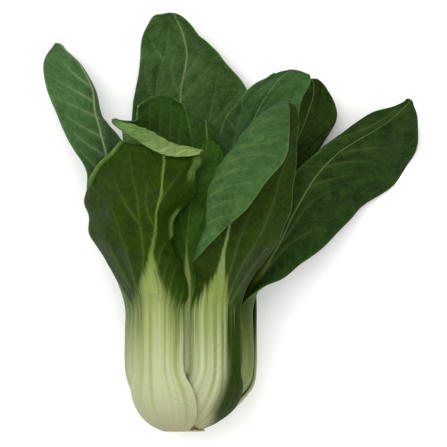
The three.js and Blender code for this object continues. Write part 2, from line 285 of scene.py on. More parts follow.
def measure_leaf(grid, across, middle):
    """How far up the leaf each row is, and how far sideways from the midrib each point is."""
    steps = np.linalg.norm(np.diff(grid[:, (len(across) - 1) // 2], axis=0), axis=1)
    length_up = np.concatenate([[0], np.cumsum(steps)])[:, None]
    widths = np.linalg.norm(np.diff(grid, axis=1), axis=2)
    over = np.concatenate([np.zeros((len(grid), 1)), np.cumsum(widths, axis=1)], axis=1)
    over_middle = [np.interp(rib, across, row) for rib, row in zip(middle[:, 0], over)]
    return length_up, over - np.array(over_middle)[:, None]


def pale_half_width(past_neck, pale_most, pale_up):
    """Half the width of the pale stalk, which narrows above the neck to a thin midrib."""
    half = np.interp(past_neck, PALE_PLACES, PALE_HALF_WIDTHS)
    limit = pale_most * np.interp(past_neck, FOOT_PLACES, FOOT_LIMITS)
    return np.minimum(limit, half * (1 + (pale_up - 1) * soft_step(-10, 10, past_neck)))


def leaf_thickness(place, margin, stalk, blade_share, rib):
    """Thick in the middle of the stalk, thin in the blade, and thinnest at the margins."""
    stalk_share = 1 - soft_step(FOOT_STEPS, NECK_STATION + 4, place)
    middle_thick = BLADE_THICKNESS + (stalk - BLADE_THICKNESS) * stalk_share
    margin_thick = np.maximum(MARGIN_THICKNESS, MARGIN_SHARE * middle_thick)
    thick = margin_thick + (middle_thick - margin_thick) * (1 - margin**2)
    thick = thick + blade_share * rib
    return thick * (1 - 0.5 * soft_step(0.9, 1.0, margin) * blade_share)


def blade_waves(grid, place, margin, around, blade_share, frill, seed):
    """How far a waved margin, its ruffles and the puckers lift the blade."""
    wave = margin**3 * soft_step(NECK_STATION, NECK_STATION + 3, place)
    wave = wave * WAVE_HEIGHT * np.sin(2 * math.pi * WAVES_PER_STATION * place + around)
    ruffle = blade_share * margin**4 * frill * swellings(grid, RUFFLE_SIZE, seed + 3)
    pucker = blade_share * PUCKER_HEIGHT * swellings(grid, PUCKER_SIZE, seed + 11)
    return wave + ruffle + pucker


def stalk_ridges(place, across, stalk, seed):
    """How deep the furrows are between the soft uneven ribs of a stalk, and its fine ridges."""
    turns = 2 * math.pi * (RIB_COUNT * across + 0.16 * np.sin(11 * across + seed))
    uneven = 0.65 + 0.35 * np.sin(17 * across + 2 * seed)
    ribs = 0.25 * RIB_DEPTH * ((1 + np.cos(turns)) * uneven) * (stalk == OUTER_STALK)
    fine = RIDGE_DEPTH * np.cos(2 * math.pi * RIDGE_COUNT * across + 2 * np.sin(9 * across))
    return (ribs + fine)[None, :] * (1 - soft_step(FOOT_STEPS, NECK_STATION + 2, place))


def rolled_share(place, across, rolls):
    """How much of a rolled margin each point is. A roll has a side, a start, an end and a width."""
    roll = np.zeros((len(place), len(across)))
    for edge, start, end, width in rolls:
        from_edge = across if edge == 0 else 1 - across
        along = soft_step(start, start + 0.5, place) * (1 - soft_step(end - 0.5, end, place))
        roll = np.maximum(roll, (1 - soft_step(0.75 * width, width, from_edge))[None, :] * along)
    return roll


def closed_sheet(name, outer, inner):
    """A mesh of two faces, each a grid of points, closed round the rim and above the table."""
    tall, wide = outer.shape[:2]
    points = np.concatenate([outer.reshape(-1, 3), inner.reshape(-1, 3)])
    points[:, 2] = np.maximum(points[:, 2], 0)
    index = np.arange(wide * tall).reshape(tall, wide)
    a, b, c, d = index[:-1, :-1], index[:-1, 1:], index[1:, 1:], index[1:, :-1]
    out_faces = np.stack([a, d, c, b], axis=-1).reshape(-1, 4)
    in_faces = np.stack([a, b, c, d], axis=-1).reshape(-1, 4) + wide * tall
    rim = np.concatenate([index[0, :-1], index[:-1, -1], index[-1, :0:-1], index[:0:-1, 0]])
    ahead = np.roll(rim, -1)
    rim_faces = np.stack([rim, ahead, ahead + wide * tall, rim + wide * tall], axis=-1)
    faces = np.concatenate([out_faces, in_faces, rim_faces])
    mesh = bpy.data.meshes.new(name)
    mesh.from_pydata((points * METRES).tolist(), [], faces.tolist())
    mesh.polygons.foreach_set("use_smooth", [True] * len(mesh.polygons))
    return mesh


def note_places(mesh, notes):
    """Notes on both faces where each point is on its leaf, for the finish to follow."""
    for title, parts in notes.items():
        note = np.stack(parts, axis=-1).reshape(-1, 3)
        attribute = mesh.attributes.new(title, "FLOAT_VECTOR", "POINT")
        attribute.data.foreach_set("vector", np.concatenate([note, note]).astype(np.float32).ravel())
    half = len(mesh.vertices) // 2
    face_note = mesh.attributes.new("inner_face", "FLOAT", "POINT")
    face_note.data.foreach_set("value", np.repeat([0.0, 1.0], half).astype(np.float32))


def grow_leaf(name, around, spread, stalk, rows, veins=None, layers=((0.0, 1.0),), rib_line=None,
              rib_start=0.5, rib_limit=1.0, reach=1000, columns=90, pale_most=60.0, pale_up=1.0,
              rolls=(), frill=0.5, seed=0):
    """One leaf, stalk and blade together, as a closed mesh that stands for its two nodes."""
    across, places, grid = leaf_sheet(around, spread, stalk, rows, reach, columns)
    place = places[:, None]
    middle = rib_middle(across, places, grid, rib_line, rib_start, rib_limit)
    side = np.where(across < middle, (across - middle) / middle, (across - middle) / (1 - middle))
    length_up, sideways = measure_leaf(grid, across, middle)
    neck = np.interp(NECK_STATION, places, length_up[:, 0])
    past_neck = length_up - neck
    share_up = np.clip(past_neck / (length_up[-1, 0] - neck), 0, 1)
    margin = np.abs(2 * across - 1)[None, :]
    blade_share = soft_step(NECK_STATION - 0.5, NECK_STATION + 2.5, place)

    pale_ratio = np.abs(sideways) / pale_half_width(past_neck, pale_most, pale_up)
    rib = (1 - soft_step(0.3, 1.2, pale_ratio)) * MIDRIB_HEIGHT * (1 - share_up)
    thick = leaf_thickness(place, margin, stalk, blade_share, rib)
    gap, vein_near, vein_strength = all_vein_gaps(grid, across, side, length_up, veins, layers)
    gap = np.minimum(gap, np.abs(sideways) + FAR_FROM_VEINS * (1 - blade_share))
    sunk = blade_share * np.exp(-((gap / VEIN_GROOVE) ** 2))
    roll = rolled_share(place, across, rolls)
    lift = blade_waves(grid, place, margin, around, blade_share, frill, seed)
    lift = lift - 0.5 * sunk - ROLL_HEIGHT * roll
    inward = facing_in(grid)
    outer = grid + inward * (lift + stalk_ridges(place, across, stalk, seed))[..., None]
    inner = grid + inward * (lift + thick - 0.2 * sunk)[..., None]

    mesh = closed_sheet(name, outer, inner)
    ones = np.ones(grid.shape[:2])
    note_places(mesh, {
        "leaf_place": (side, length_up * ones, sideways),
        "leaf_form": (pale_ratio, np.minimum(vein_near, 4), roll),
        "leaf_share": (across * ones, vein_strength, past_neck * ones),
    })
    leaf = bpy.data.objects.new(name, mesh)
    bpy.context.scene.collection.objects.link(leaf)
    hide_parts(name + "_stalk", name + "_blade")
    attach(leaf, "root")
    return leaf


PAINT_STRENGTH = 0.84
FOOT_CREAM = (164, 156, 118)
STREAK_SPREAD = 38.0
STREAK_STRETCH = 0.012
LEAF_IOR = 1.22
LEAF_SHINE = 0.3
SHINE_TINT = (0.8, 1.0, 0.55, 1.0)
GLOW_SHARE = 0.08
GLOW_COLOURS = (0.6, 1.0, 0.3)
GLOW_DEPTH = 0.002
RELIEF_HEIGHT = 0.0008


def paint(red, green, blue):
    """A colour as it looks on screen, from 0 to 255, made ready for a material in this light."""
    share = [value / 255 for value in (red, green, blue)]
    linear = [s / 12.92 if s <= 0.04045 else ((s + 0.055) / 1.055) ** 2.4 for s in share]
    return tuple(PAINT_STRENGTH * value for value in linear) + (1.0,)


def add_node(tree, kind, feeds, **settings):
    made = tree.nodes.new(kind)
    for key, value in settings.items():
        setattr(made, key, value)
    for key, feed in feeds.items():
        if isinstance(feed, bpy.types.NodeSocket):
            tree.links.new(feed, made.inputs[key])
        else:
            made.inputs[key].default_value = feed
    return made


def reckon(tree, operation, *feeds):
    return add_node(tree, "ShaderNodeMath", dict(enumerate(feeds)), operation=operation).outputs[0]


def fade(tree, value, low, high, start=0.0, end=1.0):
    feeds = {"Value": value, "From Min": low, "From Max": high, "To Min": start, "To Max": end}
    return add_node(tree, "ShaderNodeMapRange", feeds, interpolation_type="SMOOTHSTEP").outputs[0]


def plus(tree, first, second):
    return reckon(tree, "ADD", first, second)


def less(tree, first, second):
    return reckon(tree, "SUBTRACT", first, second)


def times(tree, first, second):
    return reckon(tree, "MULTIPLY", first, second)


def blend_colours(tree, share, first, second):
    return add_node(tree, "ShaderNodeMix", {0: share, 6: first, 7: second}, data_type="RGBA").outputs[2]


def cloudy(tree, where, scale, detail=3.0, rough=0.55):
    feeds = {"Vector": where, "Scale": scale, "Detail": detail, "Roughness": rough}
    return add_node(tree, "ShaderNodeTexNoise", feeds).outputs[0]


def noted(tree, title):
    vector = add_node(tree, "ShaderNodeAttribute", {}, attribute_name=title).outputs["Vector"]
    return add_node(tree, "ShaderNodeSeparateXYZ", {0: vector}).outputs


def vein_pattern(tree, flat_place, off_share, length_up, vein_near, vein_strength):
    """Main veins with a soft halo, finer veins between them, and the net of the finest."""
    wobble = less(tree, cloudy(tree, flat_place, 0.09, 2.0), 0.5)
    swept = times(tree, reckon(tree, "POWER", off_share, 0.75), VEIN_SWEEP)
    lane = less(tree, reckon(tree, "DIVIDE", length_up, float(VEIN_SPACING)), swept)
    lane = plus(tree, lane, times(tree, wobble, 0.6))
    finer = reckon(tree, "FRACT", times(tree, lane, 3.0))
    finer = reckon(tree, "ABSOLUTE", less(tree, finer, 0.5))
    fine_vein = fade(tree, finer, 0.14, 0.0, 0.0, 0.18)
    wider = {0: flat_place, 1: (0.5, 0.5, 1.0)}
    net_place = add_node(tree, "ShaderNodeVectorMath", wider, operation="MULTIPLY").outputs[0]
    net_feeds = {"Vector": net_place, "Scale": 1.0}
    net = add_node(tree, "ShaderNodeTexVoronoi", net_feeds, feature="DISTANCE_TO_EDGE").outputs[0]
    net_line = fade(tree, net, 0.12, 0.0, 0.0, 0.08)
    main_vein = times(tree, fade(tree, vein_near, 1.15, 0.0, 0.0, 0.85), vein_strength)
    halo = times(tree, fade(tree, vein_near, 4.0, 0.6, 0.0, 0.22), vein_strength)
    large = reckon(tree, "MAXIMUM", main_vein, halo)
    small = reckon(tree, "MAXIMUM", fine_vein, net_line)
    return reckon(tree, "MAXIMUM", large, small)


def stalk_colour(tree, across, past_neck, fan_place, streak, thread, white, green, seed):
    """White with greener streaks, with painted shade in the furrows between the ribs, cream at the foot
    and greener at the neck.
    """
    sway = reckon(tree, "SINE", reckon(tree, "MULTIPLY_ADD", across, 11.0, seed))
    turns = reckon(tree, "MULTIPLY_ADD", across, 2 * math.pi * RIB_COUNT, sway)
    # Painted shade: the stalk turns green in patches along the furrows, where the ribs sink in.
    between = times(tree, plus(tree, reckon(tree, "COSINE", turns), 1.0), 0.5)
    between = reckon(tree, "POWER", between, 2.5)
    patchy = fade(tree, cloudy(tree, fan_place, 0.16, 2.0), 0.4, 0.6, 0.04, 0.2)
    greener = plus(tree, times(tree, between, patchy), streak)
    greener = plus(tree, greener, fade(tree, past_neck, -62.0, 8.0, -0.16, 0.22))
    colour = blend_colours(tree, fade(tree, greener, 0.36, 0.98), white, green)
    colour = blend_colours(tree, fade(tree, thread, 0.35, 0.7, 0.0, 0.22), colour, green)
    cream_share = fade(tree, past_neck, -34.0, -70.0, 0.0, 0.8)
    colour = blend_colours(tree, cream_share, colour, paint(*FOOT_CREAM))
    return blend_colours(tree, fade(tree, past_neck, -30.0, 6.0, 0.0, 0.5), colour, green)


def leaf_finish(name, outer, inner, vein, vein_share=0.6, rolled=(118, 146, 88),
                rolled_pale=(150, 170, 104), stalk_green=(136, 152, 80),
                stalk_white=(184, 188, 150), pale_edge=(0.1, 1.9), seed=0.0):
    """Fresh leaf: mottled green with paler veins, running out of a pale ribbed stalk. "outer" and
    "inner" are the dark and the light green of its two faces."""
    material = bpy.data.materials.new(name)
    material.use_nodes = True
    tree = material.node_tree
    shader = tree.nodes["Principled BSDF"]
    side, length_up, sideways = noted(tree, "leaf_place")
    pale_ratio, vein_near, roll = noted(tree, "leaf_form")
    across, vein_strength, past_neck = noted(tree, "leaf_share")
    inner_face = add_node(tree, "ShaderNodeAttribute", {}, attribute_name="inner_face").outputs["Fac"]
    off_share = reckon(tree, "ABSOLUTE", side)
    flat_feeds = {0: sideways, 1: length_up, 2: seed}
    flat_place = add_node(tree, "ShaderNodeCombineXYZ", flat_feeds).outputs[0]
    vein_colour = paint(*vein)
    green = paint(*stalk_green)

    veins = vein_pattern(tree, flat_place, off_share, length_up, vein_near, vein_strength)
    mottle = cloudy(tree, flat_place, 0.13, 6.0, 0.68)
    speck = cloudy(tree, flat_place, 1.3, 3.0)
    crinkle = cloudy(tree, flat_place, 0.42, 3.0, 0.5)
    speckled = plus(tree, mottle, times(tree, less(tree, speck, 0.5), 0.35))
    light_share = times(tree, fade(tree, speckled, 0.3, 0.72), 0.75)
    light_share = plus(tree, light_share, fade(tree, crinkle, 0.4, 0.62, 0.0, 0.25))
    outer_green = blend_colours(tree, light_share, paint(*outer[0]), paint(*outer[1]))
    inner_green = blend_colours(tree, light_share, paint(*inner[0]), paint(*inner[1]))
    blade = blend_colours(tree, inner_face, outer_green, inner_green)
    blade = blend_colours(tree, times(tree, veins, vein_share), blade, vein_colour)
    blade = blend_colours(tree, fade(tree, off_share, 0.97, 1.0, 0.0, 0.35), blade, vein_colour)
    from_edge = fade(tree, across, 0.08, 0.3)
    roll_green = blend_colours(tree, from_edge, paint(*rolled_pale), paint(*rolled))
    roll_green = blend_colours(tree, cloudy(tree, flat_place, 0.5, 3.0), roll_green, vein_colour)
    # Painted shade: the rolled margin darkens towards the dark inner green where the crinkle sinks.
    painted_fold_shade = fade(tree, crinkle, 0.62, 0.42, 0.0, 0.4)
    roll_green = blend_colours(tree, painted_fold_shade, roll_green, paint(*inner[0]))
    blade = blend_colours(tree, times(tree, roll, 0.9), blade, roll_green)

    fan_across = times(tree, across, STREAK_SPREAD)
    fan_up = times(tree, length_up, STREAK_STRETCH)
    fan_feeds = {0: fan_across, 1: fan_up, 2: seed}
    fan_place = add_node(tree, "ShaderNodeCombineXYZ", fan_feeds).outputs[0]
    streak = cloudy(tree, fan_place, 0.42, 5.0, 0.55)
    thread = cloudy(tree, fan_place, 2.2, 3.0, 0.6)
    white = paint(*stalk_white)
    stalk = stalk_colour(tree, across, past_neck, fan_place, streak, thread, white, green, seed)
    tongue = blend_colours(tree, fade(tree, past_neck, -6.0, 14.0, 0.0, 0.75), stalk, green)
    tongue = blend_colours(tree, fade(tree, past_neck, 12.0, 34.0), tongue, vein_colour)

    ragged_share = fade(tree, past_neck, -35.0, 0.0, 0.0, 1.3)
    fringe_share = fade(tree, past_neck, -30.0, 0.0, 0.0, 2.6)
    ragged = times(tree, less(tree, streak, 0.5), ragged_share)
    fringe = times(tree, less(tree, thread, 0.5), fringe_share)
    green_share = fade(tree, plus(tree, pale_ratio, plus(tree, ragged, fringe)), *pale_edge)
    tree.links.new(blend_colours(tree, green_share, tongue, blade), shader.inputs["Base Color"])

    tree.links.new(fade(tree, mottle, 0.3, 0.7, 0.42, 0.58), shader.inputs["Roughness"])
    shader.inputs["IOR"].default_value = LEAF_IOR
    shader.inputs["Specular IOR Level"].default_value = LEAF_SHINE
    shader.inputs["Specular Tint"].default_value = SHINE_TINT
    shader.inputs["Subsurface Weight"].default_value = GLOW_SHARE
    shader.inputs["Subsurface Radius"].default_value = GLOW_COLOURS
    shader.inputs["Subsurface Scale"].default_value = GLOW_DEPTH
    relief = plus(tree, times(tree, veins, -0.5), times(tree, speck, 0.6))
    relief = plus(tree, relief, times(tree, thread, 0.3))
    relief = plus(tree, relief, times(tree, crinkle, 1.6))
    bump_feeds = {"Height": relief, "Strength": 0.6, "Distance": RELIEF_HEIGHT}
    tree.links.new(add_node(tree, "ShaderNodeBump", bump_feeds).outputs[0], shader.inputs["Normal"])
    return material


front_left_leaf = grow_leaf(
    "front_left_leaf", around=124.5, spread=28.5, stalk=OUTER_STALK, seed=1,
    rib_line=[
        (-18, 15), (-20, 29.4), (-18.5, 44.1), (-16.6, 58.9), (-15.5, 68.8), (-13, 83.7),
        (-13, 96),
    ],
    rows=[
        [[-1, 26.5, 57], [-18, 29, 61], [-32, 27.5, 46]],
        [[-3, 35.5, 58], [-21, 40, 65], [-37.5, 38, 46]],
        [[-8, 47.5, 60], [-27, 48.5, 67], [-44.5, 48, 47]],
        [[-10, 54, 61], [-29, 57, 69], [-48, 56, 48]],
        [[-7.5, 63.5, 62], [-29, 66, 71], [-49, 64, 49]],
        [[1, 73.5, 61], [-25, 75, 71], [-50, 71.5, 50]],
        [[2, 83.5, 58], [-23, 83, 69], [-48, 81.5, 52]],
        [[4, 89, 57], [-19, 89, 65], [-42, 88.5, 55]],
        [[4, 94, 57], [-15, 95.5, 61], [-33.5, 99, 57]],
    ],
    veins=[
        [(-22.9, 30), (-22.4, 46.1), (-23.9, 58.9), (-25.4, 73.8), (-26.9, 79.7), (-28.9, 92)],
        [(-26, 30), (-29.5, 44), (-33.5, 57), (-38, 71)],
        [(-29, 30), (-35, 42), (-40.5, 52)],
        [(-16.5, 32), (-15.2, 44.1), (-11, 54), (-6.2, 64)],
        [(-14, 27), (-12, 39.1), (-8.1, 48)],
        [(-10.5, 23), (-9.1, 34.1), (-5.5, 42)],
        [(-10, 17), (-7.6, 26.1), (-5.6, 33)],
        [(-6.8, 16), (-4.4, 26.1), (-3.3, 30.8)],
        [(-15, 70), (-9, 79), (-3, 86)],
        [(-16.5, 58), (-21, 68), (-20, 80)],
        [(-24, 60), (-31, 70), (-36, 82)],
    ],
    rolls=[(1, 12.4, 15.6, 0.045), (0, 12.4, 14.9, 0.08), (0, 9.6, 11.6, 0.03)],
)
front_left_leaf.data.materials.append(leaf_finish(
    "front_left_leaf_skin",
    outer=((22, 42, 0), (38, 62, 2)),
    inner=((44, 70, 18), (70, 100, 36)),
    vein=(96, 122, 48),
    vein_share=0.36,
    rolled=(88, 116, 60),
    rolled_pale=(70, 96, 54),
    seed=1.0,
))

# Back leaf
# The tall leaf at the back, which the head lies on. Its stalk is pressed flat on the table under
# the bulb, and its inner side faces up.
back_leaf = grow_leaf(
    "back_leaf", around=270, spread=44, stalk=OUTER_STALK, seed=2, columns=100,
    rib_line=[(-1, 34), (-3, 90), (-5.6, 120.7), (-3.8, 130.1), (-2.5, 139.8), (-3.5, 149.8), (-9, 160)],
    rows=[
        [[-23, 32, 8], [-0.5, 33, 1], [21.5, 32, 9]],
        [[-25, 49, 9], [-1, 50.5, 1], [23, 49, 8]],
        [[-28, 68, 9], [-1.5, 69.5, 1], [26, 68, 8]],
        [[-29.5, 87, 9], [-2.5, 89, 1], [29, 87.5, 8]],
        [[-29, 106.5, 9], [-3, 108, 0], [29, 108, 8]],
        [[-26.5, 124, 11], [-3, 124, 2], [26, 125, 9]],
        [[-24.5, 138.5, 11], [-3.5, 138.5, 5], [16.5, 137, 10]],
        [[-23.5, 149, 13], [-8, 150, 9], [6, 148, 13]],
        [[-20, 156.5, 16], [-11, 157.5, 14], [-1.5, 156.5, 15]],
        [[-14.5, 160, 18], [-12, 160.5, 18], [-9, 160, 18]],
    ],
    veins=[
        [(-2, 80), (-5.6, 120.7), (-3.8, 130.1), (-2.5, 139.8), (-2.9, 149.8), (-5, 156)],
        [(-6, 84), (-15, 105), (-16.8, 121.2), (-15.9, 131), (-13.7, 138.1), (-11.4, 145.3), (-11, 154)],
        [(-4.5, 129), (0.2, 135.5), (4.7, 141.7), (5.6, 147.1)],
        [(7, 104), (10, 115.8), (11.9, 125.6), (13.7, 134.6)],
        [(7.2, 105), (13.7, 112.2), (19, 118.5), (24, 124)],
        [(-5.4, 119), (1, 127), (8, 134), (11, 140)],
        [(-5.5, 122), (-9, 130), (-9, 140)],
        [(-16.5, 117), (-21, 126), (-22.5, 136)],
        [(-14, 139), (-18, 145), (-19.5, 151)],
        [(2, 95), (14, 101), (24, 108)],
        [(-4, 66), (-16, 82), (-25, 96)],
        [(-2, 66), (10, 80), (22, 90)],
    ],
)
back_leaf.data.materials.append(leaf_finish(
    "back_leaf_skin",
    outer=((48, 78, 42), (70, 102, 56)),
    inner=((42, 68, 28), (70, 98, 52)),
    vein=(112, 132, 88),
    vein_share=0.36,
    seed=2.0,
))

# Front right leaf
# The outer leaf at front right, seen from outside. Its left half is folded over to the right
# along the midrib, so that the bluish inner side lies on top.
front_right_leaf = grow_leaf(
    "front_right_leaf", around=66, spread=25, stalk=OUTER_STALK, seed=3, columns=120,
    rib_start=0.66, rib_limit=0.5, pale_most=9.5, pale_up=0.8,
    rib_line=[(10.5, 15), (12, 23.7), (14.7, 41.7), (18, 57.8), (24, 75), (33, 95), (44, 114)],
    rows=[
        [[26.5, 29.5, 49], [20.5, 30.5, 58], [13.5, 31.5, 62], [7, 32, 61], [2.5, 32.5, 57]],
        [[35.5, 42.5, 48], [25, 41.5, 60], [13, 41.5, 66], [5.5, 41.5, 68], [0.5, 41.5, 67]],
        [[43, 55, 50], [28, 52, 61], [11, 51, 68], [4.5, 50.5, 71], [5.5, 46.5, 74]],
        [[47, 64, 51], [29, 63.5, 61], [9, 62.5, 68], [10, 60.5, 74], [16.5, 58, 76]],
        [[48, 73, 51], [30, 75, 61], [8.5, 74, 68], [15.5, 71, 74.5], [26, 66.5, 75]],
        [[49, 81.5, 51], [32.5, 84.5, 61], [12.5, 84.5, 68], [23, 81.5, 74.5], [35.5, 79.5, 75]],
        [[50, 92.5, 51], [36.5, 94, 60], [20.5, 96, 66], [32, 94, 72.5], [44.5, 90.5, 73]],
        [[51, 104, 50], [41, 106, 57], [31, 109, 62], [38.5, 107, 68], [46.5, 104, 69]],
        [[50, 115.5, 50], [48, 116.5, 53], [45.5, 117.5, 56], [46, 117, 59.5], [46.5, 115.5, 62]],
    ],
    layers=((0.0, 0.5), (0.5, 1.0)),
    veins=[
        [
            [(9, 20), (9.5, 41.7), (12.8, 57.8)],
            [(11.9, 20), (14.7, 41.7), (18, 57.8), (19.4, 68)],
            [(14.2, 20), (19, 40.3), (23.7, 54.5), (28, 65.4)],
            [(16.6, 22), (23.2, 38.9), (31.8, 54), (38.4, 68.7)],
            [(18.5, 22), (28, 38), (38, 52)],
            [(6.5, 20), (5.5, 36), (6, 48)],
            [(32, 54), (40, 74), (45, 96)],
        ],
        [
            [(28, 104), (35.6, 108.5), (44, 110.5)],
            [(22.3, 95.7), (34.6, 98), (46, 99.6)],
            [(16.6, 88), (28, 92.3), (44, 91)],
            [(12.4, 81), (26, 85.8), (40.3, 83.6)],
            [(10, 73.5), (23.2, 78.7), (36.5, 77.7)],
            [(8.1, 66), (19.4, 71.1), (31.5, 70.5)],
            [(6.4, 58), (15.6, 63.5), (24.5, 63)],
            [(4.5, 50), (10, 55), (15.5, 56)],
        ],
    ],
)
front_right_leaf.data.materials.append(leaf_finish(
    "front_right_leaf_skin",
    outer=((22, 40, 0), (42, 62, 2)),
    inner=((40, 68, 30), (66, 98, 52)),
    vein=(108, 132, 76),
    vein_share=0.3,
    stalk_green=(118, 136, 62),
    pale_edge=(0.5, 1.35),
    seed=3.0,
))

# Back right leaf
# A dark mottled leaf at upper right, mostly under the tall inner leaf and the right leaf. Its
# stalk grows from the stem low on the hidden side of the bulb.
back_right_leaf = grow_leaf(
    "back_right_leaf", around=312, spread=42, stalk=OUTER_STALK, seed=4, columns=70, pale_up=0.5,
    rows=[
        [[6.5, 31.5, 11], [23, 32, 12], [31, 31.5, 23]],
        [[13, 46.5, 12], [27, 48.5, 12], [34, 47.5, 16]],
        [[19.5, 63, 14], [34.5, 65, 12], [44, 63.5, 14]],
        [[26, 79.5, 15], [41.5, 82, 12], [53, 80.5, 12]],
        [[33.5, 96, 16], [50, 98.5, 12], [62, 96.5, 11]],
        [[40.5, 109, 17], [55.5, 112, 13], [69.5, 110, 12]],
        [[47, 119.5, 18], [58.5, 122, 15], [67, 121, 14]],
        [[54.5, 128, 19], [57.5, 129, 19], [60.5, 129, 18]],
    ],
)
back_right_leaf.data.materials.append(leaf_finish(
    "back_right_leaf_skin",
    outer=((34, 56, 30), (58, 84, 48)),
    inner=((22, 38, 6), (46, 66, 22)),
    vein=(86, 104, 52),
    vein_share=0.35,
    seed=4.0,
))

# Left leaf
# The outer leaf at far left, leaning out. Its near half faces up and the other half is turned
# down behind the midrib.
left_leaf = grow_leaf(
    "left_leaf", around=192, spread=44, stalk=OUTER_STALK, seed=5,
    rows=[
        [[-30, 29.5, 42], [-34, 31, 25], [-21.5, 32, 14]],
        [[-38.5, 43.5, 40], [-39.5, 44.5, 23], [-27, 44.5, 14]],
        [[-45.5, 58, 36], [-42, 59.5, 21], [-30, 60.5, 13.5]],
        [[-48.5, 72, 33], [-41, 74, 20], [-32, 76, 13]],
        [[-50, 84.5, 31], [-40, 87.5, 20], [-33.5, 91, 12]],
        [[-58.5, 99.5, 30], [-42.5, 100.5, 23], [-34, 101, 14]],
        [[-64, 112, 28], [-46, 113.5, 23], [-45.5, 112, 10]],
        [[-68.5, 123, 25], [-47.5, 125, 21], [-52.5, 122, 4]],
        [[-70.5, 133.5, 22], [-53.5, 136.5, 18], [-58.5, 133.5, 0]],
        [[-68.5, 141.5, 18], [-60.5, 143.5, 15], [-62.5, 141.5, 5]],
        [[-65, 145.5, 14], [-63.5, 146, 12], [-62.5, 145, 10]],
    ],
    veins=[
        [(-40, 80), (-42.5, 100.5), (-46, 113.5), (-47.5, 125), (-53.5, 136.5), (-60, 143)],
        [(-48.5, 126), (-56, 131.5), (-62, 138)],
        [(-46.6, 118), (-54, 122.5), (-65, 129)],
        [(-44, 110), (-52.6, 114.5), (-64.5, 120)],
        [(-41.7, 101), (-52.6, 106.5), (-60, 112)],
        [(-40.5, 92), (-50, 98), (-56.5, 104)],
        [(-40, 82), (-47, 88), (-53, 95)],
    ],
)
left_leaf.data.materials.append(leaf_finish(
    "left_leaf_skin",
    outer=((44, 70, 20), (70, 96, 40)),
    inner=((42, 74, 34), (68, 102, 58)),
    vein=(140, 162, 116),
    vein_share=0.6,
    seed=5.0,
))

# Right leaf
# The outer leaf that leans far out to the right with its inner side up, ending in a small
# blunt tip. Its lower margin touches the table.
right_leaf = grow_leaf(
    "right_leaf", around=-8, spread=44, stalk=OUTER_STALK, seed=6, columns=96, pale_up=0.55,
    rib_line=[
        (30, 26), (36, 38), (43.6, 53.6), (50.2, 67.3), (57.2, 79), (66, 90), (78, 99),
        (92, 107), (104, 118),
    ],
    rows=[
        [[21.5, 30, 20], [31, 31, 28], [33.5, 29, 42]],
        [[30.5, 41.5, 21], [35.5, 39.5, 27], [43, 33.5, 36]],
        [[36.5, 52, 21], [43.5, 49.5, 25], [53, 41, 30]],
        [[41, 64, 21], [50, 59, 23], [63.5, 49, 23]],
        [[46, 75, 22], [57, 69, 21], [73, 59, 15]],
        [[50.5, 85.5, 23], [65, 80.5, 19], [82.5, 68.5, 8]],
        [[61, 95, 22], [74.5, 91, 17], [94.5, 76.5, 1.5]],
        [[73, 104.5, 21], [85, 98.5, 17], [102.5, 85.5, 0]],
        [[86, 112.5, 20], [95, 107, 17], [107.5, 96.5, 5]],
        [[98, 116.5, 20], [102, 114, 18], [108.5, 108, 12]],
        [[102.5, 119.5, 20], [104.5, 119, 20], [106, 116.5, 19]],
    ],
    veins=[
        [(45, 70), (50.1, 83.8), (58, 91.6), (65.9, 98.7), (73.8, 101.9), (86.3, 105.8), (98, 111)],
        [(33.7, 32), (43.6, 53.6), (50.2, 67.3), (57.2, 79), (63.5, 86.9), (73.8, 94), (84, 98.5)],
        [(39.3, 44.6), (50.1, 60.7), (55, 67.9), (62, 73.4), (70, 76.5)],
        [(37, 38), (46.9, 49.8), (54, 54.5), (61, 57.5)],
        [(56, 77), (68, 81.5), (80, 83)],
        [(63, 86.5), (76, 89.5), (90, 89)],
        [(72, 93.5), (86, 96), (98, 95.5)],
        [(60, 93), (68, 101), (74, 104)],
        [(80, 104), (90, 109), (97, 114)],
    ],
)
right_leaf.data.materials.append(leaf_finish(
    "right_leaf_skin",
    outer=((40, 58, 12), (66, 84, 30)),
    inner=((14, 34, 4), (42, 68, 24)),
    vein=(92, 114, 60),
    vein_share=0.38,
    stalk_green=(76, 92, 30),
    stalk_white=(134, 144, 88),
    seed=6.0,
))

